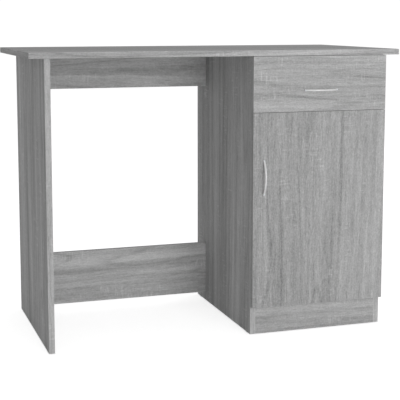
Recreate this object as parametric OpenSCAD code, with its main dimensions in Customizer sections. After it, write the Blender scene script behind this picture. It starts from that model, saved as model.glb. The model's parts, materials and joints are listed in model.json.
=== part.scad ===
// Writing desk with a drawer and a cupboard, flat-pack melamine board construction.
// Lengths in mm. The desk is laid out with X from the top's left end, Y back from the
// top's front edge and Z up from the floor, then shifted so that the origin is the
// middle of the footprint on the floor. The front faces -Y.

/* [Overall] */
// width of the top
desk_w = 1000; // [850:1:1300]
// depth of the top
desk_d = 500; // [440:1:620]
// height of the top's upper face above the floor
desk_h = 760; // [720:1:800]
// thickness of the main boards
board_t = 15; // [15:1:18]

/* [Layout] */
// top's overhang beyond the leg panel
left_overhang = 40; // [5:1:80]
// top's overhang beyond the cabinet
right_overhang = 38; // [5:1:80]
// width of the cabinet
cabinet_w = 381; // [330:1:480]
// depth of the upright panels
panel_d = 450; // [400:1:460]
// distance from the back of the rails to the back of the upright panels
rail_inset = 63; // [20:1:90]
// height of the upper rail
upper_rail_h = 100; // [80:1:140]
// height of the lower rail
lower_rail_h = 150; // [110:1:220]
// gap between the lower rail and the floor
lower_rail_z = 27; // [10:1:120]
// height of the plinth's upper edge
plinth_h = 75; // [60:1:110]
// height of the shelf's lower face
shelf_z = 332; // [250:1:400]

/* [Fronts] */
// distance of the fronts behind the top's front edge
front_y = 0.5; // [0.5:0.1:2]
// gap between the fronts and the upright panels
front_gap = 1.5; // [1.5:0.1:2]
// gap between door and drawer front, and under the top
front_reveal = 1; // [1:0.1:4]
// height of the drawer front
drawer_front_h = 146; // [125:1:200]
// how far the door hangs below the cabinet floor's upper face
door_lap = 13; // [8:1:14]

/* [Handles] */
// distance between the two posts of a handle
handle_pitch = 90; // [64:1:128]
// radius of the handle's wire
handle_r = 2.5; // [2:0.1:3.5]
// height of the bow's outside above the front
handle_out = 18; // [16:0.5:26]
// distance of the door handle from the door's left edge
door_handle_x = 30; // [20:1:60]
// distance of the middle of the door handle below the door's upper edge
door_handle_drop = 170; // [80:1:240]
// height of the drawer handle above the drawer front's lower edge
drawer_handle_z = 56; // [45:1:90]

/* [Drawer] */
// thickness of the drawer's sides and back
box_t = 12; // [12:1:14]
// height of the drawer's sides
box_h = 95; // [80:1:100]
// length of the runners
runner_l = 350; // [300:10:380]
// length of the runners that still overlaps when the drawer is fully open
runner_overlap = 80; // [65:1:140]

/* [Hidden] */
$fn = 48;
e = 0.01;

// heights
glide_t = 2;
panel_top = desk_h - board_t;
panel_h = panel_top - glide_t;
floor_top = plinth_h + board_t;
dfront_z1 = panel_top - front_reveal;
dfront_z0 = dfront_z1 - drawer_front_h;
split_z = dfront_z0 - front_reveal / 2;
divider_z = split_z - board_t / 2;
divider_top = divider_z + board_t;
door_z0 = floor_top - door_lap;
door_z1 = split_z - front_reveal / 2;
upper_rail_z = panel_top - upper_rail_h;
// depths
front_back = front_y + board_t;
panel_y0 = front_back + front_gap;
panel_y1 = panel_y0 + panel_d;
rail_y = panel_y1 - rail_inset - board_t;
rail_mid = rail_y + board_t / 2;
// widths
leg_x = left_overhang;
leg_in = leg_x + board_t;
cab_x1 = desk_w - right_overhang;
cab_x0 = cab_x1 - cabinet_w;
in_x0 = cab_x0 + board_t;
in_x1 = cab_x1 - board_t;
in_w = in_x1 - in_x0;
mid_x = (cab_x0 + cab_x1) / 2;
shift = [-desk_w / 2, -(desk_d + front_y - handle_out) / 2, 0];

// cabinet back
back_t = 3;
back_lap = 1;
back_z0 = floor_top - board_t + 1;
back_z1 = panel_top - 1;
nail_r = 0.7;
nail_l = 25;
nail_head_r = 2;
nail_head_t = 0.6;
nail_rows = [for (k = [0:3]) back_z0 + 60 + k * (back_z1 - back_z0 - 120) / 3];

// cam fastenings: the bolt is driven into one board and the cam sits in the other
cam_r = 7.5;
cam_skin = 2.5;
cam_in = 24;
bolt_r = 2.5;
bolt_in = 11;
bolt_neck_r = 1.8;
bolt_head_r = 3.2;
bolt_hole_r = 3.6;
dowel_r = 4;
dowel_in = 10;
dowel_l = 30;
joint_y = [panel_y0 + 60, panel_y1 - 60];
joint_mid = (panel_y0 + panel_y1) / 2;
mid_t = board_t / 2;

// each cam joint: point on the joint face, direction into the cam's board, cam's open side
top_joints = [
    for (y = joint_y) [[leg_x + mid_t, y, panel_top], [0, 0, -1], [1, 0, 0]],
    for (y = joint_y) [[cab_x0 + mid_t, y, panel_top], [0, 0, -1], [1, 0, 0]],
    for (y = joint_y) [[cab_x1 - mid_t, y, panel_top], [0, 0, -1], [-1, 0, 0]]];
upper_rail_joints = [
    [[leg_in, rail_mid, upper_rail_z + 30], [1, 0, 0], [0, 1, 0]],
    [[cab_x0, rail_mid, upper_rail_z + 30], [-1, 0, 0], [0, 1, 0]]];
lower_rail_joints = [
    for (h = [30, lower_rail_h - 30]) [[leg_in, rail_mid, lower_rail_z + h], [1, 0, 0], [0, 1, 0]],
    for (h = [30, lower_rail_h - 30])
        [[cab_x0, rail_mid, lower_rail_z + h], [-1, 0, 0], [0, 1, 0]]];
function flat_joints(z) = [
    for (y = joint_y) [[in_x0, y, z], [1, 0, 0], [0, 0, -1]],
    for (y = joint_y) [[in_x1, y, z], [-1, 0, 0], [0, 0, -1]]];
floor_joints = flat_joints(floor_top - mid_t);
divider_joints = flat_joints(split_z);
plinth_joints = [
    [[in_x0, panel_y0 + mid_t, 28], [1, 0, 0], [0, 1, 0]],
    [[in_x1, panel_y0 + mid_t, 28], [-1, 0, 0], [0, 1, 0]]];

// each dowel: point on the joint face, direction into the board with the deeper hole
top_dowels = [for (x = [leg_x + mid_t, cab_x0 + mid_t, cab_x1 - mid_t])
    [[x, joint_mid, panel_top], [0, 0, -1]]];
rail_dowel_z = [upper_rail_z + 60, lower_rail_z + lower_rail_h / 2];
rail_dowels = [
    for (z = rail_dowel_z) [[leg_in, rail_mid, z], [1, 0, 0]],
    for (z = rail_dowel_z) [[cab_x0, rail_mid, z], [-1, 0, 0]]];
function flat_dowels(z) = [
    [[in_x0, joint_mid, z], [1, 0, 0]], [[in_x1, joint_mid, z], [-1, 0, 0]]];
floor_dowels = flat_dowels(floor_top - mid_t);
divider_dowels = flat_dowels(split_z);
plinth_dowels = [
    [[in_x0, panel_y0 + mid_t, plinth_h - 18], [1, 0, 0]],
    [[in_x1, panel_y0 + mid_t, plinth_h - 18], [-1, 0, 0]]];

// shelf on four pins, with spare pin holes above and below
pin_r = 2.5;
pin_in = 8;
pin_out = 8;
pin_z = shelf_z - pin_r;
pin_rows = [for (k = [-2:2]) pin_z + k * 32];
pin_y = [panel_y0 + 60, panel_y1 - 60];
shelf_y0 = panel_y0 + 22;
shelf_gap = 0.5;

// roller runners, in the space between cabinet side and drawer side
run_w = 12.5;
run_t = 1.2;
run_y0 = 2;
run_z = divider_top + 7;
lip_w = 10.5;
chan_h = 19.2;
web_x = run_w - run_t;
drawer_web_z = 4;
flange_z = chan_h + 1.5;
drawer_run_h = flange_z + run_t;
front_r = 9;
front_at = [13, flange_z - 0.3 - front_r];
rear_r = 8;
rear_at = [runner_l - 12, run_t + 0.4 + rear_r];
axle_r = 2;
axle_play = 0.05;
run_holes = [0.1, 0.45, 0.8];
screw_r = 1.75;
screw_head_r = 3;
tab_h = 2.8;
drawer_travel = runner_l - runner_overlap;
stop_y = rear_at[0] - drawer_travel - sqrt(rear_r ^ 2 - (rear_at[1] - run_t - tab_h) ^ 2) - 0.3;

// drawer box
box_x0 = in_x0 + run_w;
box_x1 = in_x1 - run_w;
box_z = run_z + drawer_web_z + run_t;
groove_z = 10;
groove_in = 4;
dbottom_t = 3;
dback_in = 8;
box_mid_t = box_t / 2;
drawer_joints = [
    for (h = [30, box_h - 22])
        [[box_x0 + box_mid_t, front_back, box_z + h], [0, 1, 0], [1, 0, 0]],
    for (h = [30, box_h - 22])
        [[box_x1 - box_mid_t, front_back, box_z + h], [0, 1, 0], [-1, 0, 0]]];
dback_y1 = front_back + runner_l - dback_in;
dback_y0 = dback_y1 - box_t;
dback_z = box_z + groove_z + dbottom_t;
euro_r = 2.5;
euro_l = 40;
euro_head_r = 3.8;
euro_head_t = 2;
euro_z = [dback_z + 20, box_z + box_h - 16];

// concealed hinges: the arm's pin is at hinge_a and the cup's pin at hinge_b, in plan
hinge_z = [door_z0 + 95, door_z1 - 95];
hinge_a = [cab_x1 - 33.4, front_back - 8.1];
hinge_b = [cab_x1 - 13.6, front_back - 2.3];
cup_x = cab_x1 - 22.5;
cup_r = 17.5;
cup_deep = 12;
cup_wall = 1.2;
cup_floor = 0.8;
cup_flange_t = 1;
cup_wing_w = 14;
cup_wing_h = 58;
cup_screw = [-9.5, 22.5];
hinge_pin_r = 1.5;
hinge_play = 0.06;
link_w = 5.2;
cheek_z = 5.6;
cheek_t = 1.4;
arm_root = [in_x1 - 4.2, panel_y0 + 25];
arm_hw = 2.2;
link_hw = 2;
plate_y = panel_y0 + 37;
plate_t = 2;
plate_screw = 16;

// handles
post_r = handle_r + 0.5;
post_l = handle_r + 3;
arc_y0 = handle_r + 0.5;
arc_top = handle_out - handle_r;
arc_rise = arc_top - arc_y0;
arc_r = ((handle_pitch / 2) ^ 2 + arc_rise ^ 2) / (2 * arc_rise);
arc_a = asin(handle_pitch / 2 / arc_r);
hscrew_r = 2;
hscrew_in = 4.5;
hscrew_head_r = 4;
hscrew_head_t = 1.8;
door_handle = [cab_x0 + door_handle_x, front_y, door_z1 - door_handle_drop];
drawer_handle = [mid_x, front_y, dfront_z0 + drawer_handle_z];

// felt bumpers on the back of the door
bumper_r = 4;
bumper_t = front_gap - 0.4;
bumper_z = [door_z0 + 35, door_z1 - 35];

c_board = [0.60, 0.60, 0.59];
c_hardboard = [0.78, 0.77, 0.74];
c_zinc = [0.62, 0.63, 0.65];
c_handle = [0.83, 0.83, 0.84];
c_white = [0.90, 0.90, 0.89];
c_wood = [0.80, 0.68, 0.50];
c_plastic = [0.75, 0.76, 0.77];

module block(a, b) { translate(a) cube(b - a); }

// turns local X to u and local Z to w, at p
module at(p, u, w) {
    v = cross(w, u);
    multmatrix([[u[0], v[0], w[0], p[0]], [u[1], v[1], w[1], p[1]], [u[2], v[2], w[2], p[2]]])
        children();
}

// a rod of radius r along local X from x0 to x1
module rod(x0, x1, r) { translate([x0, 0, 0]) rotate([0, 90, 0]) cylinder(h = x1 - x0, r = r); }

// a rod of radius r along u from p
module rod_at(p, u, x0, x1, r) {
    w = abs(u[2]) > 0.5 ? [1, 0, 0] : [0, 0, 1];
    at(p, u, w) rod(x0, x1, r);
}

module bolt_holes(joints) {
    for (j = joints) rod_at(j[0], j[1], -bolt_in, e, bolt_r);
}

module cam_holes(joints, t) {
    for (j = joints) at(j[0], j[1], j[2]) {
        rod(-e, cam_in, bolt_hole_r);
        translate([cam_in, 0, cam_skin - t / 2]) cylinder(h = t - cam_skin + e, r = cam_r);
    }
}

module cams(joints, t) {
    for (j = joints) at(j[0], j[1], j[2]) difference() {
        translate([cam_in, 0, cam_skin - t / 2]) cylinder(h = t - cam_skin, r = cam_r);
        rod(cam_in - cam_r - 1, cam_in + 1, bolt_hole_r);
        for (a = [45, 135]) translate([cam_in, 0, t / 2 - 1.6])
            rotate([0, 0, a]) translate([-4, -0.6, 0]) cube([8, 1.2, 2]);
    }
}

module bolts(joints) {
    for (j = joints) at(j[0], j[1], j[2]) {
        rod(-bolt_in, 0, bolt_r);
        rod(0, 2, bolt_hole_r - 0.1);
        rod(2, cam_in - 3, bolt_neck_r);
        rod(cam_in - 3, cam_in, bolt_head_r);
    }
}

module dowel_holes_short(ds) { for (d = ds) rod_at(d[0], d[1], -dowel_in, e, dowel_r); }
module dowel_holes_long(ds) { for (d = ds) rod_at(d[0], d[1], -e, dowel_l - dowel_in, dowel_r); }
module dowel_rods(ds) { for (d = ds) rod_at(d[0], d[1], -dowel_in, dowel_l - dowel_in, dowel_r); }

// a flat bar between two plan points, with round ends, from z0 to z1
module bar(a, b, hw, z0, z1) {
    d = (b - a) / norm(b - a) * hw;
    n = [-d[1], d[0]];
    translate([0, 0, z0]) linear_extrude(z1 - z0) polygon([a + n, a - n, b - n, b + n]);
    for (p = [a, b]) translate([p[0], p[1], z0]) cylinder(h = z1 - z0, r = hw);
}

module glide_at(x, y) {
    translate([x, y, 0]) {
        cylinder(h = glide_t, r = 7);
        cylinder(h = 14, r = 1.2);
    }
}
glide_spots = [for (x = [leg_x + mid_t, cab_x0 + mid_t, cab_x1 - mid_t])
    for (y = [panel_y0 + 28, panel_y1 - 28]) [x, y]];
module glide_holes() {
    for (s = glide_spots) translate([s[0], s[1], 0]) cylinder(h = 14, r = 1.2);
}

module back_nails_shape(grow) {
    for (x = [cab_x0 + mid_t, cab_x1 - mid_t], z = nail_rows) nail([x, panel_y1 + back_t, z], grow);
    for (x = [mid_x - 80, mid_x + 80], z = [floor_top - mid_t, split_z])
        nail([x, panel_y1 + back_t, z], grow);
}
module nail(p, grow) {
    rod_at(p, [0, -1, 0], -grow, nail_l, nail_r);
    if (grow == 0) rod_at(p, [0, -1, 0], -nail_head_t, 0, nail_head_r);
}

// an upright panel from x to x + board_t
module upright(x) {
    difference() {
        block([x, panel_y0, glide_t], [x + board_t, panel_y1, panel_top]);
        glide_holes();
    }
}

module desktop() {
    color(c_board) difference() {
        block([0, 0, panel_top], [desk_w, desk_d, desk_h]);
        bolt_holes(top_joints);
        dowel_holes_short(top_dowels);
    }
}

module left_leg_panel() {
    color(c_board) difference() {
        upright(leg_x);
        cam_holes([for (j = top_joints) if (j[0][0] < leg_in) j], board_t);
        dowel_holes_long([top_dowels[0]]);
        bolt_holes([for (j = concat(upper_rail_joints, lower_rail_joints)) if (j[1][0] > 0) j]);
        dowel_holes_short([for (d = rail_dowels) if (d[1][0] > 0) d]);
    }
}

// holes common to both cabinet sides; s is 1 for the left side and -1 for the right
module side_holes(s) {
    flats = concat(floor_joints, divider_joints, plinth_joints);
    bolt_holes([for (j = flats) if (j[1][0] == s) j]);
    ds = concat(floor_dowels, divider_dowels, plinth_dowels);
    dowel_holes_short([for (d = ds) if (d[1][0] == s) d]);
    x = s > 0 ? in_x0 : in_x1;
    for (y = pin_y, z = pin_rows) rod_at([x, y, z], [s, 0, 0], -pin_in, e, pin_r);
    for (k = run_holes)
        rod_at([x, panel_y0 + run_y0 + k * runner_l, run_z + rear_at[1]],
            [s, 0, 0], -10, e, screw_r);
    back_nails_shape(1);
}

module cabinet_left_side() {
    color(c_board) difference() {
        upright(cab_x0);
        cam_holes([for (j = top_joints) if (abs(j[0][0] - cab_x0 - mid_t) < 1) j], board_t);
        dowel_holes_long([top_dowels[1]]);
        bolt_holes([for (j = concat(upper_rail_joints, lower_rail_joints)) if (j[1][0] < 0) j]);
        dowel_holes_short([for (d = rail_dowels) if (d[1][0] < 0) d]);
        side_holes(1);
    }
}

module cabinet_right_side() {
    color(c_board) difference() {
        upright(in_x1);
        cam_holes([for (j = top_joints) if (j[0][0] > in_x1) j], board_t);
        dowel_holes_long([top_dowels[2]]);
        side_holes(-1);
        for (z = hinge_z, s = [-1, 1])
            rod_at([in_x1, plate_y, z + s * plate_screw], [1, 0, 0], -e, 11, screw_r);
    }
}

module upper_back_rail() {
    color(c_board) difference() {
        block([leg_in, rail_y, upper_rail_z], [cab_x0, rail_y + board_t, panel_top]);
        cam_holes(upper_rail_joints, board_t);
        dowel_holes_long(rail_dowels);
    }
}

module lower_back_rail() {
    color(c_board) difference() {
        block([leg_in, rail_y, lower_rail_z],
            [cab_x0, rail_y + board_t, lower_rail_z + lower_rail_h]);
        cam_holes(lower_rail_joints, board_t);
        dowel_holes_long(rail_dowels);
    }
}

module cabinet_floor() {
    color(c_board) difference() {
        block([in_x0, panel_y0, plinth_h], [in_x1, panel_y1, floor_top]);
        cam_holes(floor_joints, board_t);
        dowel_holes_long(floor_dowels);
        back_nails_shape(1);
    }
}

module plinth() {
    color(c_board) difference() {
        block([in_x0, panel_y0, glide_t], [in_x1, panel_y0 + board_t, plinth_h]);
        cam_holes(plinth_joints, board_t);
        dowel_holes_long(plinth_dowels);
    }
}

module drawer_divider() {
    color(c_board) difference() {
        block([in_x0, panel_y0, divider_z], [in_x1, panel_y1, divider_top]);
        cam_holes(divider_joints, board_t);
        dowel_holes_long(divider_dowels);
        back_nails_shape(1);
    }
}

module shelf() {
    color(c_board)
        block([in_x0 + shelf_gap, shelf_y0, shelf_z],
            [in_x1 - shelf_gap, panel_y1 - 2, shelf_z + board_t]);
}

module shelf_pins() {
    color(c_zinc) for (y = pin_y) {
        rod_at([in_x0, y, pin_z], [1, 0, 0], -pin_in, pin_out, pin_r);
        rod_at([in_x1, y, pin_z], [-1, 0, 0], -pin_in, pin_out, pin_r);
    }
}

module cabinet_back() {
    color(c_hardboard) difference() {
        block([cab_x0 + back_lap, panel_y1, back_z0],
            [cab_x1 - back_lap, panel_y1 + back_t, back_z1]);
        back_nails_shape(1);
    }
}

module back_nails() { color(c_zinc) back_nails_shape(0); }

all_joints = concat(top_joints, upper_rail_joints, lower_rail_joints, floor_joints,
    divider_joints, plinth_joints);

module cam_locks() { color(c_zinc) cams(all_joints, board_t); }
module cam_bolts() { color(c_zinc) bolts(all_joints); }

module dowels() {
    color(c_wood) dowel_rods(concat(top_dowels, rail_dowels, floor_dowels, divider_dowels,
        plinth_dowels));
}

module floor_glides() { color(c_plastic) for (s = glide_spots) glide_at(s[0], s[1]); }

// places a left-hand runner part, or its mirror image on the right
module on_left() { translate([in_x0, panel_y0 + run_y0, run_z]) children(); }
module on_right() { translate([in_x1, panel_y0 + run_y0, run_z]) mirror([1, 0, 0]) children(); }

module cabinet_runner() {
    difference() {
        union() {
            block([0, 0, 0], [run_t, runner_l, chan_h]);
            block([0, 0, 0], [lip_w, runner_l, run_t]);
            block([0, front_at[0] + front_r + 4, chan_h - run_t], [lip_w, runner_l, chan_h]);
            block([0, runner_l - run_t, 0], [lip_w, runner_l, chan_h]);
            block([0, stop_y - run_t, 0], [lip_w, stop_y, run_t + tab_h]);
            translate([0, front_at[0], front_at[1]]) {
                rod(0, lip_w - 0.6, axle_r);
                rod(lip_w - 0.6, lip_w + 0.2, axle_r + 1.4);
            }
        }
        for (k = run_holes) translate([0, k * runner_l, rear_at[1]])
            rod(-e, run_t + e, screw_head_r);
    }
}

module drawer_runner() {
    difference() {
        union() {
            block([web_x, 0, drawer_web_z], [run_w, runner_l - 2, drawer_run_h]);
            block([2.5, 0, flange_z], [run_w, runner_l - 2, drawer_run_h]);
            block([web_x, 0, drawer_web_z],
                [run_w + box_t - 0.5, runner_l - 2, drawer_web_z + run_t]);
            translate([0, rear_at[0], rear_at[1]]) {
                rod(2.4, web_x + e, axle_r);
                rod(1.7, 2.4, axle_r + 1.4);
            }
        }
        for (k = run_holes) translate([0, k * runner_l, drawer_web_z + 6])
            rod(web_x - e, run_w + e, screw_head_r);
    }
}

module wheel(x0, x1, r) {
    difference() {
        union() {
            rod(x0 + 0.6, x1 - 0.6, r);
            rod(x0, x1, r - 1.5);
        }
        rod(x0 - 1, x1 + 1, axle_r + axle_play);
    }
}

module front_wheel() {
    translate([0, front_at[0], front_at[1]]) wheel(run_t + 0.3, lip_w - 0.8, front_r);
}
module rear_wheel() {
    translate([0, rear_at[0], rear_at[1]]) wheel(2.6, web_x - 0.3, rear_r);
}

module cabinet_runner_left() { color(c_white) on_left() cabinet_runner(); }
module cabinet_runner_right() { color(c_white) on_right() cabinet_runner(); }
module drawer_runner_left() { color(c_white) on_left() drawer_runner(); }
module drawer_runner_right() { color(c_white) on_right() drawer_runner(); }
module front_roller_left() { color(c_plastic) on_left() front_wheel(); }
module front_roller_right() { color(c_plastic) on_right() front_wheel(); }
module rear_roller_left() { color(c_plastic) on_left() rear_wheel(); }
module rear_roller_right() { color(c_plastic) on_right() rear_wheel(); }

module cabinet_screws() {
    for (k = run_holes) translate([0, k * runner_l, rear_at[1]]) {
        rod(-10, 0, screw_r);
        rod(0, run_t, screw_head_r);
    }
}
module cabinet_runner_screws() {
    color(c_zinc) { on_left() cabinet_screws(); on_right() cabinet_screws(); }
}

module drawer_screws(r) {
    for (k = run_holes) translate([0, k * runner_l, drawer_web_z + 6]) {
        rod(run_w - e, run_w + 9, screw_r);
        rod(web_x, run_w, r);
    }
}
module drawer_runner_screws() {
    color(c_zinc) { on_left() drawer_screws(screw_head_r); on_right() drawer_screws(screw_head_r); }
}

module drawer_side(x) {
    difference() {
        block([x, front_back, box_z], [x + box_t, front_back + runner_l, box_z + box_h]);
        gx = x < mid_x ? x + box_t - groove_in : x;
        block([gx - e, front_back - 1, box_z + groove_z],
            [gx + groove_in + e, front_back + runner_l + 1, box_z + groove_z + dbottom_t]);
        cam_holes([for (j = drawer_joints) if (abs(j[0][0] - x - box_mid_t) < 1) j], box_t);
        on_left() drawer_screws(screw_r);
        on_right() drawer_screws(screw_r);
        drawer_back_screws_shape();
    }
}
module drawer_left_side() { color(c_board) drawer_side(box_x0); }
module drawer_right_side() { color(c_board) drawer_side(box_x1 - box_t); }

module drawer_back_screws_shape() {
    for (z = euro_z, s = [-1, 1]) {
        x = s < 0 ? box_x0 : box_x1;
        rod_at([x, (dback_y0 + dback_y1) / 2, z], [-s, 0, 0], 0, euro_l, euro_r);
        rod_at([x, (dback_y0 + dback_y1) / 2, z], [-s, 0, 0], 0, euro_head_t, euro_head_r);
    }
}
module drawer_back_screws() { color(c_zinc) drawer_back_screws_shape(); }

module drawer_back() {
    color(c_board) difference() {
        block([box_x0 + box_t, dback_y0, dback_z], [box_x1 - box_t, dback_y1, box_z + box_h]);
        drawer_back_screws_shape();
    }
}

module drawer_bottom() {
    color(c_hardboard)
        block([box_x0 + box_t - groove_in, front_back - groove_in, box_z + groove_z],
            [box_x1 - box_t + groove_in, front_back + runner_l - 1, box_z + groove_z + dbottom_t]);
}

module drawer_front() {
    color(c_board) difference() {
        block([cab_x0, front_y, dfront_z0], [cab_x1, front_back, dfront_z1]);
        bolt_holes(drawer_joints);
        block([box_x0 + box_t - groove_in, front_back - groove_in, box_z + groove_z],
            [box_x1 - box_t + groove_in, front_back + 1, box_z + groove_z + dbottom_t]);
        translate(drawer_handle) handle_screw_holes();
    }
}

module drawer_cam_locks() { color(c_zinc) cams(drawer_joints, box_t); }
module drawer_cam_bolts() { color(c_zinc) bolts(drawer_joints); }

// a bow handle along X, standing out in -Y from the face at y = 0
module handle() {
    difference() {
        union() {
            translate([0, arc_r - arc_top, 0]) rotate([0, 0, -90 - arc_a])
                rotate_extrude(angle = 2 * arc_a) translate([arc_r, 0]) circle(r = handle_r);
            for (s = [-1, 1]) translate([s * handle_pitch / 2, 0, 0]) rotate([90, 0, 0]) {
                cylinder(h = post_l - 0.6, r = post_r);
                translate([0, 0, post_l - 0.6]) cylinder(h = 0.6, r1 = post_r, r2 = post_r - 0.6);
            }
        }
        for (s = [-1, 1]) translate([s * handle_pitch / 2, 0, 0]) rotate([90, 0, 0])
            translate([0, 0, -e]) cylinder(h = hscrew_in + e, r = hscrew_r);
    }
}
module handle_screw_holes() {
    for (s = [-1, 1]) translate([s * handle_pitch / 2, -1, 0]) rotate([-90, 0, 0])
        cylinder(h = board_t + 2, r = hscrew_r);
}
module handle_screws() {
    for (s = [-1, 1]) translate([s * handle_pitch / 2, 0, 0]) rotate([-90, 0, 0]) {
        translate([0, 0, -hscrew_in]) cylinder(h = board_t + hscrew_in, r = hscrew_r);
        translate([0, 0, board_t]) cylinder(h = hscrew_head_t, r = hscrew_head_r);
    }
}
module on_door_handle() { translate(door_handle) rotate([0, 90, 0]) children(); }

module drawer_handle() { color(c_handle) translate(drawer_handle) handle(); }
module door_handle() { color(c_handle) on_door_handle() handle(); }
module drawer_handle_screws() { color(c_zinc) translate(drawer_handle) handle_screws(); }
module door_handle_screws() { color(c_zinc) on_door_handle() handle_screws(); }

module cup_screws_shape() {
    for (z = hinge_z, s = [-1, 1])
        rod_at([cup_x + cup_screw[0], front_back, z + s * cup_screw[1]], [0, 1, 0], -9, e, screw_r);
}

module door() {
    color(c_board) difference() {
        block([cab_x0, front_y, door_z0], [cab_x1, front_back, door_z1]);
        on_door_handle() handle_screw_holes();
        for (z = hinge_z) rod_at([cup_x, front_back, z], [0, -1, 0], -e, cup_deep, cup_r);
        cup_screws_shape();
    }
}

module hinge_cup(z) {
    translate([cup_x, front_back, z]) {
        difference() {
            union() {
                rod_at([0, 0, 0], [0, -1, 0], 0, cup_deep, cup_r);
                block([cup_screw[0] - cup_wing_w / 2, 0, -cup_wing_h / 2],
                    [cup_screw[0] + cup_wing_w / 2, cup_flange_t, cup_wing_h / 2]);
                rod_at([0, 0, 0], [0, 1, 0], 0, cup_flange_t, cup_r + 1);
            }
            block([in_x1 - 0.6 - cup_x, 0, -cup_r - 2], [cup_r + 3, cup_flange_t + 1, cup_r + 2]);
            rod_at([0, 0, 0], [0, -1, 0], -cup_flange_t - 1, cup_deep - cup_floor, cup_r - cup_wall);
            for (s = [-1, 1])
                rod_at([cup_screw[0], 0, s * cup_screw[1]], [0, 1, 0], -1, cup_flange_t + 1, screw_r);
        }
    }
    pin = sqrt(cup_r ^ 2 - (hinge_b[0] - cup_x + hinge_pin_r) ^ 2) - 0.1;
    translate([hinge_b[0], hinge_b[1], z - pin]) cylinder(h = 2 * pin, r = hinge_pin_r);
}
module hinge_cup_upper() { color(c_zinc) hinge_cup(hinge_z[1]); }
module hinge_cup_lower() { color(c_zinc) hinge_cup(hinge_z[0]); }

module hinge_cup_screws() {
    color(c_zinc) for (z = hinge_z, s = [-1, 1]) {
        p = [cup_x + cup_screw[0], front_back, z + s * cup_screw[1]];
        rod_at(p, [0, 1, 0], -9, cup_flange_t, screw_r);
    }
}

module hinge_arm(z) {
    translate([0, 0, z]) {
        difference() {
            union() {
                block([in_x1 - plate_t, plate_y - 9, -22], [in_x1, plate_y + 9, 22]);
                block([arm_root[0] - arm_hw, arm_root[1], -cheek_z - cheek_t],
                    [in_x1, plate_y + 22, cheek_z + cheek_t]);
            }
            for (s = [-1, 1]) translate([0, plate_y, s * plate_screw])
                rod(in_x1 - plate_t - 1, in_x1 + 1, screw_r);
        }
        for (s = [-1, 1]) mirror([0, 0, s < 0 ? 1 : 0])
            bar(arm_root, hinge_a, arm_hw, cheek_z, cheek_z + cheek_t);
        translate([hinge_a[0], hinge_a[1], -cheek_z - cheek_t - 0.6])
            cylinder(h = 2 * (cheek_z + cheek_t + 0.6), r = hinge_pin_r);
    }
}
module hinge_arm_upper() { color(c_zinc) hinge_arm(hinge_z[1]); }
module hinge_arm_lower() { color(c_zinc) hinge_arm(hinge_z[0]); }

module hinge_arm_screws() {
    color(c_zinc) for (z = hinge_z, s = [-1, 1]) {
        p = [in_x1, plate_y, z + s * plate_screw];
        rod_at(p, [1, 0, 0], -plate_t, 11, screw_r);
        rod_at(p, [1, 0, 0], -plate_t - 1, -plate_t, screw_head_r);
    }
}

module hinge_link(z) {
    translate([0, 0, z]) difference() {
        bar(hinge_a, hinge_b, link_hw, -link_w, link_w);
        for (p = [hinge_a, hinge_b]) translate([p[0], p[1], -link_w - 1])
            cylinder(h = 2 * link_w + 2, r = hinge_pin_r + hinge_play);
    }
}
module hinge_link_upper() { color(c_zinc) hinge_link(hinge_z[1]); }
module hinge_link_lower() { color(c_zinc) hinge_link(hinge_z[0]); }

module door_bumpers() {
    color(c_plastic) for (z = bumper_z)
        rod_at([cab_x0 + mid_t, front_back, z], [0, 1, 0], 0, bumper_t, bumper_r);
}

translate(shift) {
    desktop();
    left_leg_panel();
    cabinet_left_side();
    cabinet_right_side();
    upper_back_rail();
    lower_back_rail();
    cabinet_floor();
    plinth();
    drawer_divider();
    shelf();
    shelf_pins();
    cabinet_back();
    back_nails();
    cam_locks();
    cam_bolts();
    dowels();
    floor_glides();
    cabinet_runner_left();
    cabinet_runner_right();
    cabinet_runner_screws();
    front_roller_left();
    front_roller_right();
    hinge_arm_upper();
    hinge_arm_lower();
    hinge_arm_screws();
    drawer_front();
    drawer_left_side();
    drawer_right_side();
    drawer_back();
    drawer_bottom();
    drawer_handle();
    drawer_handle_screws();
    drawer_cam_locks();
    drawer_cam_bolts();
    drawer_back_screws();
    drawer_runner_left();
    drawer_runner_right();
    drawer_runner_screws();
    rear_roller_left();
    rear_roller_right();
    door();
    door_handle();
    door_handle_screws();
    hinge_cup_upper();
    hinge_cup_lower();
    hinge_cup_screws();
    door_bumpers();
    hinge_link_upper();
    hinge_link_lower();
}
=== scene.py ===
# %% [markdown]
# # A small writing desk in grey oak board
# The desk is made of flat boards: a top, one side panel, a cabinet with a drawer above a
# door, and two rails at the back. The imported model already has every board, screw hole,
# hinge and runner in its right place, in metres, with the front facing -Y. This lesson
# dresses that model: it softens the boards' edges, prints a grey oak pattern on them, bends
# the two bow handles, and gives every small metal part its own finish.

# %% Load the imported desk
import json
import math

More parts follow.
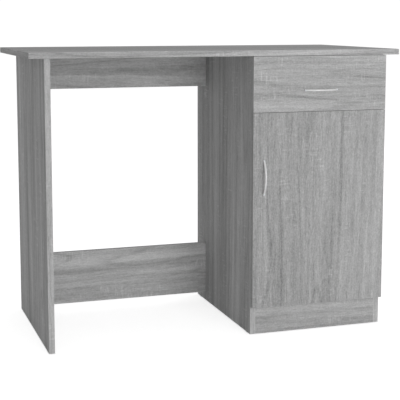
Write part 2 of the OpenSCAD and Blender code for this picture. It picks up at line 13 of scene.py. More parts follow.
import bmesh
import bpy
import numpy as np
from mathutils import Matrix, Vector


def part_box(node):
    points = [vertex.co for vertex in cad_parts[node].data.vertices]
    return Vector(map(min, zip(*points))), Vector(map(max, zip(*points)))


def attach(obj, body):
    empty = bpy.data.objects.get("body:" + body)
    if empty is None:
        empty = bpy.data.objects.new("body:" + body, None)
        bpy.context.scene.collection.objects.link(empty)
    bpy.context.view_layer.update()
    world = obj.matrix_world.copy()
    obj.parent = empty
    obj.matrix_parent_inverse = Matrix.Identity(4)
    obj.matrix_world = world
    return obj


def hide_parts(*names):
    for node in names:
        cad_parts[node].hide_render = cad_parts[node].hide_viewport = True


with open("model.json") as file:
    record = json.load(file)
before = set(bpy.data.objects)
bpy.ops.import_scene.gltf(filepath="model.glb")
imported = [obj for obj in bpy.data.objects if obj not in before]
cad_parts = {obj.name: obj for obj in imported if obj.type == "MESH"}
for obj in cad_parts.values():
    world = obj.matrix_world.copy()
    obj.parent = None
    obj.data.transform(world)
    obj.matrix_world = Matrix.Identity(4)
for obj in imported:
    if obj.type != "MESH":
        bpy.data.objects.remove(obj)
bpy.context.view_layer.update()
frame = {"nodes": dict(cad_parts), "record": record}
nodes = frame["nodes"]

# %% [markdown]
# ## The eye
# A desk like this is usually shown from a little to the left of its left end, with a long
# lens a little above the top, so its lines stay nearly parallel. A camera that looks
# slightly down, with its frame shifted a little down too, keeps the uprights almost vertical
# and still works from other sides.

# %% Set up the camera
eye = bpy.data.cameras.new("eye")
eye.lens = 95.75
eye.sensor_width = 36.0
eye.shift_y = -0.12
LOOK_DOWN = 7.17
TURN_RIGHT = 18.29
eye_stand = bpy.data.objects.new("eye", eye)
eye_stand.location = (-0.914, -2.808, 0.842)
eye_stand.rotation_euler = (math.radians(90 - LOOK_DOWN), 0, math.radians(-TURN_RIGHT))
bpy.context.scene.collection.objects.link(eye_stand)
bpy.context.scene.camera = eye_stand
print("lens", eye.lens, "mm at", tuple(round(c, 3) for c in eye_stand.location))

# %% [markdown]
# ## Writing node trees in few words
# A finish is a small tree of nodes. Seven helpers keep it readable: `put` adds one node and
# feeds its sockets, `calc` is one sum or product, `between` maps one span to another with
# soft ends, `stretched` is noise drawn out along the grain, `set_ramp` gives a colour ramp
# its two ends, `finish_tree` starts a material whose surface is one Principled shader, and
# `group_tree` starts an effect with named inputs and outputs.

# %% Helpers for node trees
def put(tree, kind, feeds=None, **settings):
    """Adds a node. feeds maps socket names or numbers to values or to other nodes' sockets."""
    made = tree.nodes.new(kind)
    for key, value in settings.items():
        setattr(made, key, value)
    for key, value in (feeds or {}).items():
        if isinstance(value, bpy.types.NodeSocket):
            tree.links.new(value, made.inputs[key])
        else:
            made.inputs[key].default_value = value
    return made


def calc(tree, operation, a, b):
    """One arithmetic step: a operation b."""
    return put(tree, "ShaderNodeMath", {0: a, 1: b}, operation=operation).outputs[0]


def between(tree, value, low, high, to_low=0.0, to_high=1.0):
    """value carried from the span low..high to the span to_low..to_high, with soft ends."""
    return put(tree, "ShaderNodeMapRange",
               {"Value": value, "From Min": low, "From Max": high,
                "To Min": to_low, "To Max": to_high},
               interpolation_type="SMOOTHSTEP").outputs[0]


def stretched(tree, place, along, across, detail=0.0, rough=0.5):
    """Noise drawn out along the grain: place's u is multiplied by along and its v by across."""
    scaled = put(tree, "ShaderNodeVectorMath", {0: place, 1: (along, across, 1.0)},
                 operation="MULTIPLY").outputs[0]
    return put(tree, "ShaderNodeTexNoise",
               {"Vector": scaled, "Scale": 1.0, "Detail": detail, "Roughness": rough},
               noise_dimensions="3D").outputs[0]


def set_ramp(ramp, low, dark, high, light):
    """Lays a ramp's two stops: the colour dark at low and the colour light at high."""
    first, last = ramp.color_ramp.elements
    first.position = low
    last.position = high
    first.color = (*dark, 1)
    last.color = (*light, 1)


def finish_tree(name, **sockets):
    """A new material with one Principled shader; the given sockets get constant values."""
    material = bpy.data.materials.new(name)
    material.use_nodes = True
    shader = material.node_tree.nodes["Principled BSDF"]
    for key, value in sockets.items():
        shader.inputs[key.replace("_", " ")].default_value = value
    return material, material.node_tree, shader


def group_tree(name, takes, gives):
    """A shared effect: a node group with the named inputs and outputs."""
    tree = bpy.data.node_groups.new(name, "ShaderNodeTree")
    for label, kind in takes:
        tree.interface.new_socket(label, in_out="INPUT", socket_type=kind)
    for label, kind in gives:
        tree.interface.new_socket(label, in_out="OUTPUT", socket_type=kind)
    given = tree.nodes.new("NodeGroupInput").outputs
    gives = tree.nodes.new("NodeGroupOutput").inputs
    return tree, given, gives


# %% [markdown]
# ## The grey oak print
# The boards are particle board with a printed melamine face. The print copies sawn oak:
# soft bands, streaks, a mass of short fibres, flame figures where growth rings are cut
# flat, a few narrow dark stripes, pores, and patches of short pale saw marks that run
# across the grain. One picture of oak could be pasted on, but it would repeat on every
# board. One node group draws it instead, from grain coordinates: u runs along the grain
# and v across it, in metres, and the third number is different on every board.
# Each layer is a noise drawn out along u. The table gives its frequencies along and across,
# its detail and two weights, from the broadest band to the finest speckle. The first weight
# holds on a board cut with straight grain, the second on one cut through the rings, where
# bands are weaker and fibres and speckle are stronger. Figure says where a board stands
# between the two, Shade moves a whole board's tone, and Arris is 1 on the rounded edges.

# %% Draw the oak print
LAYERS = [(0.8, 12.0, 1.0, 0.42, 0.22), (1.6, 58.0, 2.0, 0.54, 0.34),
          (14.0, 210.0, 2.0, 0.26, 0.30), (60.0, 620.0, 2.0, 0.22, 0.28),
          (210.0, 330.0, 1.0, 0.20, 0.34)]

oak_print, given, gives = group_tree(
    "oak_print",
    [("Place", "NodeSocketVector"), ("Figure", "NodeSocketFloat"), ("Shade", "NodeSocketFloat"),
     ("Arris", "NodeSocketFloat")],
    [("Color", "NodeSocketColor"), ("Roughness", "NodeSocketFloat"), ("Height", "NodeSocketFloat")])
place = given["Place"]


def add_to(tone, layer, weight):
    """The tone with a layer added, counted from the layer's middle value of one half."""
    offset = calc(oak_print, "MULTIPLY", calc(oak_print, "SUBTRACT", layer, 0.5), weight)
    return calc(oak_print, "ADD", tone, offset)


# the grain wanders: v is shifted by two slow noises before anything is drawn
WIDE_WANDER = 0.040
NEAR_WANDER = 0.006
shift = add_to(0.0, stretched(oak_print, place, 1.3, 5.0), WIDE_WANDER)
shift = add_to(shift, stretched(oak_print, place, 7.0, 22.0, 1.0), NEAR_WANDER)
sideways = put(oak_print, "ShaderNodeCombineXYZ", {"Y": shift}).outputs[0]
bent = put(oak_print, "ShaderNodeVectorMath", {0: place, 1: sideways}, operation="ADD").outputs[0]

MIDDLE_TONE = 0.5
tone = calc(oak_print, "ADD", given["Shade"], MIDDLE_TONE)
for along, across, detail, straight, lively in LAYERS:
    layer = stretched(oak_print, bent, along, across, detail, 0.6)
    change = calc(oak_print, "MULTIPLY", given["Figure"], lively - straight)
    tone = add_to(tone, layer, calc(oak_print, "ADD", change, straight))
speckle = layer
print("plain grain:", len(LAYERS), "layers")

# %% [markdown]
# Flames are the contour lines of a stretched hill, which is how a saw makes them from the
# rings. A soft mask keeps them to parts of a board. Saw marks are thin pale lines across
# the grain, masked to patches. Every mark then darkens or lightens the tone a little, and so
# does the arris, whose band is lighter.

# %% Add flames, stripes, pores and saw marks
hill = calc(oak_print, "MULTIPLY", stretched(oak_print, bent, 0.9, 7.0, 1.5), 12.0)
contour = calc(oak_print, "PINGPONG", hill, 0.5)
flame_area = between(oak_print, stretched(oak_print, place, 1.1, 6.0), 0.45, 0.62)
flame = calc(oak_print, "MULTIPLY", between(oak_print, contour, 0.13, 0.01), flame_area)
stripe = between(oak_print, stretched(oak_print, bent, 0.5, 26.0, 1.0), 0.60, 0.76)
pores = between(oak_print, stretched(oak_print, bent, 45.0, 1400.0), 0.60, 0.72)
tooth = between(oak_print, stretched(oak_print, place, 210.0, 26.0, 1.0), 0.54, 0.70)
patch = between(oak_print, stretched(oak_print, place, 8.0, 24.0, 1.0), 0.55, 0.66)
saw = calc(oak_print, "MULTIPLY", tooth, patch)
MARKS = [(flame, -0.10), (stripe, -0.12), (pores, -0.12), (saw, 0.11), (given["Arris"], 0.14)]
for mark, weight in MARKS:
    tone = calc(oak_print, "ADD", tone, calc(oak_print, "MULTIPLY", mark, weight))

# %% [markdown]
# One grey channel is enough, because the print has almost no colour. A ramp with three stops
# turns the tone into grey. Paler print is a little glossier, and the film is pressed with the
# print's own relief: speckle and saw marks stand up, and pores lie lower.

# %% Turn the tone into grey, gloss and relief
# linear greys at the tones 0, one half and 1: pale for grey oak, so the sky and lamps are dim
GREYS = (0.080, 0.540, 1.000)
ramp = put(oak_print, "ShaderNodeValToRGB", {"Fac": tone})
stops = ramp.color_ramp.elements
stops.new(MIDDLE_TONE)
for stop, grey in zip(stops, GREYS):
    stop.color = (grey, grey, grey, 1)
oak_print.links.new(ramp.outputs["Color"], gives["Color"])
oak_print.links.new(between(oak_print, tone, 0.2, 0.8, 0.62, 0.50), gives["Roughness"])
raised_speckle = calc(oak_print, "MULTIPLY", speckle, 0.6)
raised_saw = calc(oak_print, "MULTIPLY", saw, 0.35)
sunken_pores = calc(oak_print, "MULTIPLY", pores, 0.6)
relief = calc(oak_print, "ADD", raised_speckle, raised_saw)
relief = calc(oak_print, "SUBTRACT", relief, sunken_pores)
oak_print.links.new(relief, gives["Height"])
print("oak print has", len(oak_print.nodes), "nodes")

# %% [markdown]
# ## Board face and board core
# The printed face is a thin hard film with a low satin sheen. Where a hole is drilled the
# film is cut and the pressed chips show, so hole walls get a coarse pale brown crumb.

# %% Finish the boards
oak_face, tree, shader = finish_tree("grey_oak_melamine", IOR=1.48, Specular_IOR_Level=0.42)
seen = put(tree, "ShaderNodeGroup", {}, node_tree=oak_print)
for attribute, socket, kind in (("grain", "Place", "Vector"), ("figure", "Figure", "Fac"),
                                ("shade", "Shade", "Fac"), ("arris", "Arris", "Fac")):
    read = put(tree, "ShaderNodeAttribute", attribute_name=attribute)
    tree.links.new(read.outputs[kind], seen.inputs[socket])
tree.links.new(seen.outputs["Color"], shader.inputs["Base Color"])
tree.links.new(seen.outputs["Roughness"], shader.inputs["Roughness"])
bump = put(tree, "ShaderNodeBump",
           {"Height": seen.outputs["Height"], "Strength": 0.35, "Distance": 0.0002})
tree.links.new(bump.outputs["Normal"], shader.inputs["Normal"])

chip_core, tree, shader = finish_tree("pressed_chip_core", Roughness=0.9, Specular_IOR_Level=0.2)
spot = put(tree, "ShaderNodeTexCoord").outputs["Object"]
chips = put(tree, "ShaderNodeTexVoronoi", {"Vector": spot, "Scale": 900.0}).outputs["Color"]
chip_tone = put(tree, "ShaderNodeSeparateColor", {0: chips}).outputs[0]
crumb = put(tree, "ShaderNodeValToRGB", {"Fac": chip_tone})
set_ramp(crumb, 0.0, (0.24, 0.17, 0.10), 1.0, (0.56, 0.44, 0.29))
tree.links.new(crumb.outputs["Color"], shader.inputs["Base Color"])
bump = put(tree, "ShaderNodeBump",
           {"Height": crumb.outputs["Color"], "Strength": 0.6, "Distance": 0.0004})
tree.links.new(bump.outputs["Normal"], shader.inputs["Normal"])
print("board finishes:", oak_face.name, "and", chip_core.name)

# %% [markdown]
# ## Boards with softened edges
# A sawn and banded board has a tiny rounded arris, a little under half a millimetre, that
# catches a line of light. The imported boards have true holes, so each is copied, its copied
# points are merged, and only the outer edges are bevelled. The grain then follows the way a
# maker lays it: along the board on its faces, and along the edge band on its edges. A face
# whose middle lies deeper than the arris is the wall of a hole, so it gets the chip finish.

# %% Bevel and map one board
AXES = {"x": 0, "y": 1, "z": 2}


def outer_edges(mesh_edit, low, high):
    """Edges whose two ends lie on the same two sides of the board's box."""
    near = 2e-5
    points = np.array([v.co[:] for v in mesh_edit.verts])
    on_side = np.concatenate([np.abs(points - low) < near, np.abs(points - high) < near], axis=1)
    ends = np.array([(e.verts[0].index, e.verts[1].index) for e in mesh_edit.edges])
    shared = (on_side[ends[:, 0]] & on_side[ends[:, 1]]).sum(axis=1)
    return [e for e, count in zip(list(mesh_edit.edges), shared) if count >= 2]


def board(name, body, grain, seed, figure, shade=0.0, arris=0.0004):
    """A bevelled copy of the board called name.
    On a face, u is the coordinate along the grain axis and v the one across it; on a face
    that the grain runs into, u follows the face's longer side instead. Each of the six
    sides and each board adds its own offset, so a pattern never repeats across an edge."""
    edit = bmesh.new()
    edit.from_mesh(nodes[name].data)
    bmesh.ops.remove_doubles(edit, verts=edit.verts, dist=1e-6)
    edit.verts.index_update()
    low, high = (np.array(corner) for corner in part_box(name))
    bmesh.ops.bevel(edit, geom=outer_edges(edit, low, high), offset=arris, segments=2,
                    profile=0.5, affect="EDGES", clamp_overlap=True)
    mesh = bpy.data.meshes.new(name + "_board")
    edit.to_mesh(mesh)
    edit.free()

    count = len(mesh.loops)
    corner_vertex = np.empty(count, np.int32)
    mesh.loops.foreach_get("vertex_index", corner_vertex)
    points = np.empty(len(mesh.vertices) * 3, np.float32)
    mesh.vertices.foreach_get("co", points)
    points = points.reshape(-1, 3)
    normals = np.empty(len(mesh.polygons) * 3, np.float32)
    centres = np.empty(len(mesh.polygons) * 3, np.float32)
    sizes = np.empty(len(mesh.polygons), np.int32)
    mesh.polygons.foreach_get("normal", normals)
    mesh.polygons.foreach_get("center", centres)
    mesh.polygons.foreach_get("loop_total", sizes)
    normals = normals.reshape(-1, 3)
    centres = centres.reshape(-1, 3)

    facing = np.abs(normals).argmax(axis=1)
    sign = normals[np.arange(len(facing)), facing] > 0
    size = high - low
    along = np.empty(3, int)
    for side in range(3):
        others = [k for k in range(3) if k != side]
        along[side] = AXES[grain] if AXES[grain] != side else max(others, key=lambda k: size[k])
    u_axis = along[facing]
    v_axis = 3 - facing - u_axis
    face_of = np.repeat(np.arange(len(sizes)), sizes)
    corner = points[corner_vertex]
    rows = np.arange(count)
    seed_step = (1.7, 0.61, 3.1)
    side_step = 0.37
    side_number = (facing * 2 + sign)[face_of]
    u = corner[rows, u_axis[face_of]] + seed_step[0] * seed
    v = corner[rows, v_axis[face_of]] + seed_step[1] * seed + side_step * side_number
    layer = np.full(count, seed_step[2] * seed)
    mesh.attributes.new("grain", "FLOAT_VECTOR", "CORNER").data.foreach_set(
        "vector", np.stack([u, v, layer], axis=1).astype(np.float32).ravel())

    # how far each face's middle lies inside the box: the least and the second least distance
    inset = np.sort(np.minimum(centres - low, high - centres), axis=1)
    on_arris = (inset[:, 1] < arris * 1.01) & (inset[:, 0] > 1e-6)
    in_hole = inset[:, 0] > arris * 1.1
    mesh.attributes.new("arris", "FLOAT", "CORNER").data.foreach_set(
        "value", on_arris[face_of].astype(np.float32))
    for label, level in (("figure", figure), ("shade", shade)):
        mesh.attributes.new(label, "FLOAT", "CORNER").data.foreach_set(
            "value", np.full(count, level, np.float32))
    mesh.materials.append(oak_face)
    mesh.materials.append(chip_core)
    mesh.polygons.foreach_set("material_index", in_hole.astype(np.int32))
    mesh.polygons.foreach_set("use_smooth", np.ones(len(sizes), bool))
    mesh.set_sharp_from_angle(angle=math.radians(50))

    piece = bpy.data.objects.new(name + "_board", mesh)
    bpy.context.scene.collection.objects.link(piece)
    flat = piece.modifiers.new("even_faces", "WEIGHTED_NORMAL")
    flat.keep_sharp = True
    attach(piece, body)
    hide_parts(name)
    return piece

# %% [markdown]
# Grain runs with a board's long way in most furniture. Here the top, rails, plinth, shelf
# and drawer front carry it sideways, the door and uprights carry it up and down, and the
# drawer's sides carry it from front to back. The seed picks a board's own part of the
# pattern. The number after it is the figure: the door and the drawer front are lively, the
# uprights calm. The last one is the shade, which shifts a whole board's tone. On the rails
# it is painted light: they stand back under the top, and a lighter tone makes up for lamp
# light that the top keeps from them. The door's shade makes it a little darker.

# %% Make every board
# each row: name, body, grain axis, seed, figure, shade
BOARDS = [
    ("desktop", "desk", "x", 1, 0.5, 0.0),
    ("left_leg_panel", "desk", "z", 2, 0.1, 0.0),
    ("cabinet_left_side", "desk", "z", 3, 0.1, 0.0),
    ("cabinet_right_side", "desk", "z", 4, 0.2, 0.0),
    # the two rails' lighter shade is painted light: it makes up for lamp light the top keeps from them
    ("upper_back_rail", "desk", "x", 5, 0.5, 0.03),
    ("lower_back_rail", "desk", "x", 6, 0.6, 0.07),
    ("cabinet_floor", "desk", "x", 7, 0.4, 0.0),
    ("plinth", "desk", "x", 8, 0.7, 0.0),
    ("drawer_divider", "desk", "x", 9, 0.4, 0.0),
    ("shelf", "desk", "x", 10, 0.4, 0.0),
    ("drawer_front", "drawer", "x", 39, 0.9, 0.0),
    ("drawer_left_side", "drawer", "y", 12, 0.2, 0.0),
    ("drawer_right_side", "drawer", "y", 13, 0.2, 0.0),
    ("drawer_back", "drawer", "x", 14, 0.3, 0.0),
    ("door", "door", "z", 33, 1.0, -0.065)]
boards = [board(*row) for row in BOARDS]
print(len(boards), "boards,", sum(len(b.data.polygons) for b in boards), "faces")

# %% [markdown]
# ## Thin boards
# The cabinet's back and the drawer's bottom are 3 mm hardboard, painted pale. Pressed fibre
# shows as a soft mottle with a faint fine weave, so two noises and a small bump are enough.

# %% Finish the hardboard
pale_hardboard, tree, shader = finish_tree("pale_hardboard", Specular_IOR_Level=0.3)
spot = put(tree, "ShaderNodeTexCoord").outputs["Object"]
mottle = put(tree, "ShaderNodeTexNoise", {"Vector": spot, "Scale": 60.0, "Detail": 4.0}).outputs[0]
fibre = put(tree, "ShaderNodeTexNoise", {"Vector": spot, "Scale": 1400.0, "Detail": 2.0}).outputs[0]
mixed = calc(tree, "ADD", calc(tree, "MULTIPLY", mottle, 0.6), calc(tree, "MULTIPLY", fibre, 0.4))
pale = put(tree, "ShaderNodeValToRGB", {"Fac": mixed})
set_ramp(pale, 0.3, (0.60, 0.60, 0.595), 0.7, (0.68, 0.68, 0.675))
tree.links.new(pale.outputs["Color"], shader.inputs["Base Color"])
tree.links.new(between(tree, mottle, 0.3, 0.7, 0.55, 0.75), shader.inputs["Roughness"])
bump = put(tree, "ShaderNodeBump", {"Height": fibre, "Strength": 0.25, "Distance": 0.0003})
tree.links.new(bump.outputs["Normal"], shader.inputs["Normal"])
print("hardboard finish ready")

# %% [markdown]
# ## Metals
# Three finishes cover the metal parts. The handles carry a satin silver lacquer. A true
# metal would mirror this scene's dim sky and turn out too dark, so the lacquer is made as a
# nearly white finish that is hardly metallic. That near-white colour is partly the lacquer's
# own pale silver and partly painted reflection, standing in for the bright surroundings a
# silver finish would mirror. Fasteners are bright zinc, slightly blue and cloudy. Hinges are
# nickel, smoother and warmer. One group makes the cloudiness: it gives a tone, a roughness
# and a fine relief from noise.

# %% Finish the metals
cloud, given, gives = group_tree(
    "plating_cloud",
    [("Scale", "NodeSocketFloat"), ("Low", "NodeSocketFloat"), ("High", "NodeSocketFloat")],
    [("Tone", "NodeSocketFloat"), ("Roughness", "NodeSocketFloat"), ("Height", "NodeSocketFloat")])
spot = put(cloud, "ShaderNodeTexCoord").outputs["Object"]
slow = put(cloud, "ShaderNodeTexNoise",
           {"Vector": spot, "Scale": given["Scale"], "Detail": 3.0}).outputs[0]
fine = put(cloud, "ShaderNodeTexNoise",
           {"Vector": spot, "Scale": 3500.0, "Detail": 1.0}).outputs[0]
blend = calc(cloud, "ADD", calc(cloud, "MULTIPLY", slow, 0.7), calc(cloud, "MULTIPLY", fine, 0.3))
cloud.links.new(between(cloud, blend, 0.3, 0.7, 0.88, 1.0), gives["Tone"])
spread = put(cloud, "ShaderNodeMapRange",
             {"Value": blend, "From Min": 0.3, "From Max": 0.7,
              "To Min": given["Low"], "To Max": given["High"]}).outputs[0]
cloud.links.new(spread, gives["Roughness"])
cloud.links.new(fine, gives["Height"])
print("plating cloud has", len(cloud.nodes), "nodes")


def plated(name, colour, scale, low, high, bump_strength=0.08, metallic=1.0):
    """A metal finish whose tone and roughness drift with the cloud, roughness from low to high."""
    material, tree, shader = finish_tree(name, Metallic=metallic)
    drift = put(tree, "ShaderNodeGroup", {}, node_tree=cloud)
    drift.inputs["Scale"].default_value = scale
    drift.inputs["Low"].default_value = low
    drift.inputs["High"].default_value = high
    # a colour mix keeps its factor at input 0, its colours at 6 and 7, its result at output 2
    tinted = put(tree, "ShaderNodeMix", {0: 1.0, 6: (*colour, 1.0), 7: drift.outputs["Tone"]},
                 data_type="RGBA", blend_type="MULTIPLY")
    tree.links.new(tinted.outputs[2], shader.inputs["Base Color"])
    tree.links.new(drift.outputs["Roughness"], shader.inputs["Roughness"])
    bump = put(tree, "ShaderNodeBump", {"Height": drift.outputs["Height"], "Strength": bump_strength,
                                        "Distance": 0.0001})
    tree.links.new(bump.outputs["Normal"], shader.inputs["Normal"])
    return material


zinc = plated("bright_zinc", (0.70, 0.72, 0.75), 220.0, 0.28, 0.48)
nickel = plated("hinge_nickel", (0.74, 0.72, 0.69), 120.0, 0.20, 0.34)
# the handles' near-white colour is partly painted reflection, standing in for what silver would mirror
silver = plated("satin_silver", (0.97, 0.97, 0.97), 90.0, 0.32, 0.42,
                bump_strength=0.05, metallic=0.1)
print("metals:", zinc.name, nickel.name, silver.name)

# %% [markdown]
# ## Enamel, nylon, rubber and beech
# Runners are powder coated, which dries with a fine orange-peel surface. Rollers and glides
# are moulded, so they are smooth with a faint flow mottle. Dowels are turned beech with
# short flecks. Each is a base tone, a slow drift, a roughness and a bump of its own scale.

# %% Finish the small parts
def mottled(name, dark, light, scale, low, high, bump_scale, strength, distance, **sockets):
    """A plain part's finish: colour and roughness drift on one noise of the given scale, the
    colour from dark to light and the roughness from low to high, and bump on a finer one."""
    material, tree, shader = finish_tree(name, **sockets)
    spot = put(tree, "ShaderNodeTexCoord").outputs["Object"]
    drift = put(tree, "ShaderNodeTexNoise",
                {"Vector": spot, "Scale": scale, "Detail": 3.0}).outputs[0]
    tint = put(tree, "ShaderNodeValToRGB", {"Fac": drift})
    set_ramp(tint, 0.3, dark, 0.7, light)
    tree.links.new(tint.outputs["Color"], shader.inputs["Base Color"])
    tree.links.new(between(tree, drift, 0.3, 0.7, low, high), shader.inputs["Roughness"])
    peel = put(tree, "ShaderNodeTexNoise",
               {"Vector": spot, "Scale": bump_scale, "Detail": 1.0}).outputs[0]
    bump = put(tree, "ShaderNodeBump",
               {"Height": peel, "Strength": strength, "Distance": distance})
    tree.links.new(bump.outputs["Normal"], shader.inputs["Normal"])
    return material


enamel = mottled("white_powder_coat", (0.72, 0.72, 0.71), (0.80, 0.80, 0.79),
                 60, 0.32, 0.44, 1600, 0.3, 0.0002)
nylon = mottled("white_nylon", (0.68, 0.68, 0.65), (0.76, 0.76, 0.73),
                150, 0.38, 0.52, 2500, 0.1, 0.0001, Subsurface_Weight=0.1)
glide = mottled("grey_glide_plastic", (0.42, 0.43, 0.44), (0.52, 0.53, 0.54),
                150, 0.45, 0.6, 2500, 0.1, 0.0001)
rubber = mottled("clear_bumper", (0.60, 0.60, 0.60), (0.68, 0.68, 0.68),
                 300, 0.5, 0.65, 3000, 0.1, 0.0001, Subsurface_Weight=0.2)
beech = mottled("turned_beech", (0.48, 0.33, 0.19), (0.62, 0.46, 0.29),
                500, 0.55, 0.7, 3000, 0.3, 0.0002)
FINISHES = {"hardboard": pale_hardboard, "zinc_steel": zinc, "hinge_steel": nickel,
            "handle_metal": silver, "runner_enamel": enamel, "roller_plastic": nylon,
            "glide_plastic": glide, "bumper_rubber": rubber, "dowel_wood": beech}
dressed = [row for row in frame["record"]["subparts"] if row["material_slot"] in FINISHES]
for row in dressed:
    target = nodes[row["node"]]
    if not target.data.materials:
        target.data.materials.append(None)
    for slot in target.material_slots:
        slot.material = FINISHES[row["material_slot"]]
print("carried-over parts finished:", len(dressed))

# %% [markdown]
# ## Bow handles
# Each handle is one drawn bar, bent to a shallow arc and fixed by its two ends. Its section
# is a circle pressed a little flat in front, and its ends thicken slightly into feet that
# stand on the front. A swept profile does this well: the section is carried along the arc's
# line, and grows near the ends.

# %% Bend one handle
def swept(line, radius, across, rings, depth, power):
    """Points on a bar: line plus radius times (depth * c * side + s * up) at each place.
    c and s are the cosine and sine of an angle that goes round, with their sizes raised to
    power, which squares the round section off. side is square to the line's direction and
    to the fixed vector across; up is across."""
    step = np.gradient(line, axis=0)
    step /= np.linalg.norm(step, axis=1, keepdims=True)
    side = np.cross(step, across)
    side /= np.linalg.norm(side, axis=1, keepdims=True)
    angle = np.linspace(0, 2 * np.pi, rings, endpoint=False)
    c, s = (np.sign(w) * np.abs(w) ** power for w in (np.cos(angle), np.sin(angle)))
    around = (depth * c[None, :, None] * side[:, None, :]
              + s[None, :, None] * np.array(across)[None, None, :])
    return line[:, None, :] + radius[:, None, None] * around


def tube_mesh(name, grid):
    """A mesh from a grid of points: quads between neighbouring rings, and a cap at each end."""
    steps, rings = grid.shape[:2]
    i, j = np.meshgrid(np.arange(steps - 1), np.arange(rings), indexing="ij")
    k = (j + 1) % rings
    quads = np.stack([i * rings + j, i * rings + k, (i + 1) * rings + k, (i + 1) * rings + j], axis=-1)
    faces = quads.reshape(-1, 4).tolist()
    faces += [list(range(rings))[::-1], list(range((steps - 1) * rings, steps * rings))]
    mesh = bpy.data.meshes.new(name)
    mesh.from_pydata(grid.reshape(-1, 3).tolist(), [], faces)
    mesh.polygons.foreach_set("use_smooth", np.ones(len(mesh.polygons), bool))
    mesh.set_sharp_from_angle(angle=math.radians(60))
    return mesh


def bow_handle(node, body, long_axis):
    """The handle of one front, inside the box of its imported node.
    Its line is s along the handle and rise * (1 - (s / half)^2)^0.85 out of the face: a low
    arc that leaves the face at a slant. Its radius is wire, and grows to foot where the line
    comes within about foot_reach of the face."""
    low, high = (np.array(corner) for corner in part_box(node))
    centre = (low + high) / 2
    wire = 0.0025
    foot = 0.0030
    foot_reach = 0.0022
    depth = 0.8
    half = (high - low)[long_axis] / 2 - foot
    face = high[1]
    rise = (high - low)[1] - depth * wire
    s = np.sin(np.linspace(-np.pi / 2, np.pi / 2, 97))
    out = rise * np.clip(1 - s ** 2, 0, 1) ** 0.85
    line = np.zeros((len(s), 3))
    line[:, long_axis] = s * half
    line[:, 1] = -out
    near_foot = np.exp(-(out / foot_reach) ** 2)
    radius = wire + (foot - wire) * near_foot
    across = (0.0, 0.0, 1.0) if long_axis == 0 else (1.0, 0.0, 0.0)
    grid = swept(line, radius, across, 32, depth, 0.7)
    grid[..., 1] = np.minimum(grid[..., 1], 0.0)
    grid += np.array([centre[0], face, centre[2]])
    piece = bpy.data.objects.new(node + "_bow", tube_mesh(node + "_bow", grid))
    piece.data.materials.append(silver)
    bpy.context.scene.collection.objects.link(piece)
    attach(piece, body)
    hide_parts(node)
    return piece


handles = [bow_handle("drawer_handle", "drawer", 0), bow_handle("door_handle", "door", 2)]
print("handles:", [len(h.data.polygons) for h in handles], "faces")

# %% [markdown]
# ## Floor
# The desk stands on a white light table: a round floor that runs far past it and glows a
# little to the eye, so that it stays white into the distance, while soft shadows still show
# where the desk stands. White paint alone would fall to grey away from the lamps.

# %% Lay the floor
RADIUS = 25.0
FLOOR_DROP = 0.0002
FLOOR_GLOW = 0.70
ring = np.linspace(0, 2 * np.pi, 96, endpoint=False)
rim = np.stack([RADIUS * np.cos(ring), RADIUS * np.sin(ring), np.full(ring.size, -FLOOR_DROP)],
               axis=1)
floor_mesh = bpy.data.meshes.new("floor")
floor_mesh.from_pydata(rim.tolist(), [], [list(range(ring.size))])
floor = bpy.data.objects.new("floor", floor_mesh)
pale_floor, tree, shader = finish_tree("pale_floor", Roughness=0.9, Specular_IOR_Level=0.1,
                                       Emission_Color=(1, 1, 1, 1))
spot = put(tree, "ShaderNodeTexCoord").outputs["Object"]
haze = put(tree, "ShaderNodeTexNoise", {"Vector": spot, "Scale": 1.5, "Detail": 2.0}).outputs[0]
wash = put(tree, "ShaderNodeValToRGB", {"Fac": haze})
set_ramp(wash, 0.0, (0.93, 0.93, 0.93), 1.0, (0.95, 0.95, 0.95))
tree.links.new(wash.outputs["Color"], shader.inputs["Base Color"])
to_eye = put(tree, "ShaderNodeLightPath").outputs["Is Camera Ray"]
tree.links.new(calc(tree, "MULTIPLY", to_eye, FLOOR_GLOW), shader.inputs["Emission Strength"])
floor_mesh.materials.append(pale_floor)
bpy.context.scene.collection.objects.link(floor)
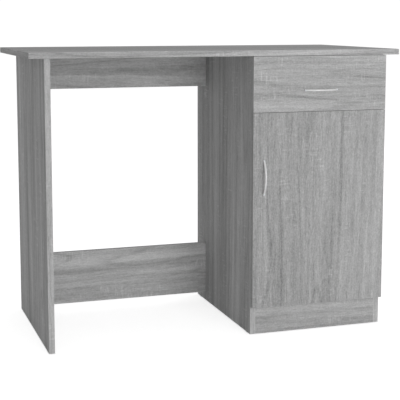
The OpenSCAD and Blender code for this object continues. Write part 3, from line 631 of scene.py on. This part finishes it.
print("floor is", 2 * RADIUS, "m across")

# %% [markdown]
# ## Sky
# A white sky lights everything evenly. It is weaker as a light than it looks: a Light Path
# node shows the eye a white sky, while the desk gets about a third of that, which suits the
# pale greys of the print.

# %% Hang the sky
SKY_AS_LIGHT = 0.34
SKY_AS_SEEN = 1.05
sky = bpy.data.worlds.new("white_sky")
sky.use_nodes = True
to_eye = put(sky.node_tree, "ShaderNodeLightPath").outputs["Is Camera Ray"]
sky_light = between(sky.node_tree, to_eye, 0.0, 1.0, SKY_AS_LIGHT, SKY_AS_SEEN)
sky.node_tree.links.new(sky_light, sky.node_tree.nodes["Background"].inputs["Strength"])
sky.node_tree.nodes["Background"].inputs["Color"].default_value = (1, 1, 1, 1)
bpy.context.scene.world = sky
bpy.context.scene.view_settings.view_transform = "Standard"
print("sky strength:", SKY_AS_LIGHT, "as light,", SKY_AS_SEEN, "to the eye")

# %% [markdown]
# ## Lamps
# A large soft lamp stands low in front, so it reaches under the top to the rails. Weak ones
# overhead and behind, to the right, keep the other sides clear. So the fronts are the
# brightest, the top is next, and the uprights' left sides are darkest.

# %% Set up the lamps
HALF_HEIGHT = 0.38


def softbox(name, azimuth, elevation, distance, size, watts):
    """A square soft lamp that points at the desk's middle. Azimuth 0 is straight in front of
    the desk and grows to the right."""
    lamp = bpy.data.lights.new(name, "AREA")
    lamp.size = size
    lamp.energy = watts
    stand = bpy.data.objects.new(name, lamp)
    turn = math.radians(azimuth)
    rise = math.radians(elevation)
    stand.location = (distance * math.cos(rise) * math.sin(turn),
                      -distance * math.cos(rise) * math.cos(turn),
                      HALF_HEIGHT + distance * math.sin(rise))
    stand.rotation_euler = (math.pi / 2 - rise, 0, turn)
    bpy.context.scene.collection.objects.link(stand)
    return stand


lamps = [softbox("front_light", 8, 6, 5.0, 2.5, 84), softbox("overhead_light", 0, 88, 3.5, 2.5, 9),
         softbox("back_light", 124, 16, 4.5, 2.2, 22)]
print("lamps set:", [lamp.name for lamp in lamps])
